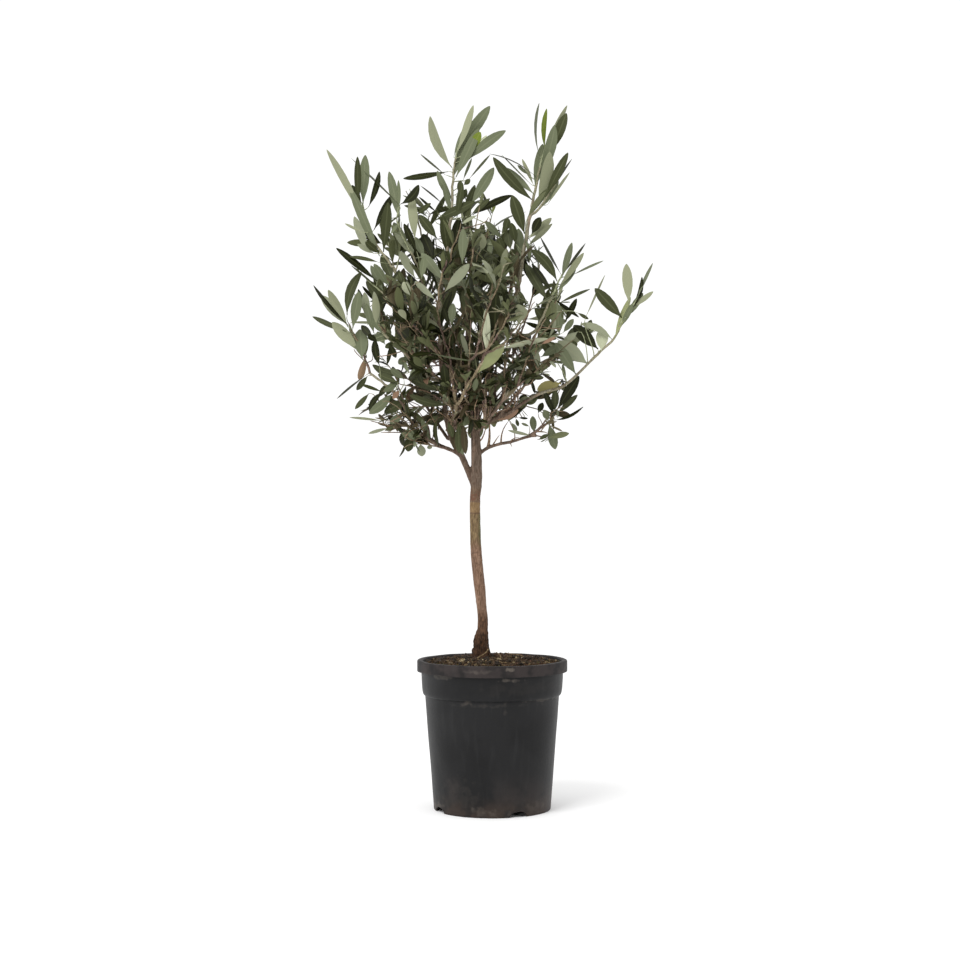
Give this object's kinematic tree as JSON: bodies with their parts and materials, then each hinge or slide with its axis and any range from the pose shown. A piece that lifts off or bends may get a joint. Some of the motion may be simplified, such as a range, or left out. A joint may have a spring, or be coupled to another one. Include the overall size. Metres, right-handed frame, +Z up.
{
  "type": "potted olive tree",
  "caption": "Young olive tree with an open crown on one slender stem, growing in a round nursery pot filled with compost.",
  "frame": {"origin": "middle of the pot's flat underside", "axes": "+Z up along the pot's upright, -Y towards the front, +X to the right as seen from the front"},
  "size_m": [0.4368, 0.4146, 0.895],
  "materials": {
    "pot": "charcoal, moulded, dusty",
    "soil": "moist dark brown compost",
    "bark": "grey-tan bark, darker at the foot",
    "foliage": "grey-green leaves, silvery below"
  },
  "bodies": {
    "root": {"bough_back": "bark", "bough_back_left": "bark", "bough_front": "bark", "bough_front_right": "bark", "bough_left_low": "bark", "bough_right_long": "bark", "bough_right_low": "bark", "foliage_back_far": "foliage", "foliage_back_high": "foliage", "foliage_back_left": "foliage", "foliage_back_low": "foliage", "foliage_back_right": "foliage", "foliage_body_left": "foliage", "foliage_body_low_left": "foliage", "foliage_body_low_right": "foliage", "foliage_body_right": "foliage", "foliage_front_far": "foliage", "foliage_front_high": "foliage", "foliage_front_left": "foliage", "foliage_front_low": "foliage", "foliage_front_right": "foliage", "foliage_heart_high": "foliage", "foliage_heart_low": "foliage", "foliage_inner_top_left": "foliage", "foliage_left_far": "foliage", "foliage_left_high": "foliage", "foliage_left_low": "foliage", "foliage_left_tuft": "foliage", "foliage_right_far": "foliage", "foliage_right_high": "foliage", "foliage_right_low": "foliage", "foliage_right_mid": "foliage", "foliage_top_centre": "foliage", "foliage_top_left": "foliage", "foliage_top_right": "foliage", "fork_left": "bark", "leader_left": "bark", "pot": "pot", "soil": "soil", "stem_right": "bark", "trunk": "bark"}
  },
  "joints": []
}
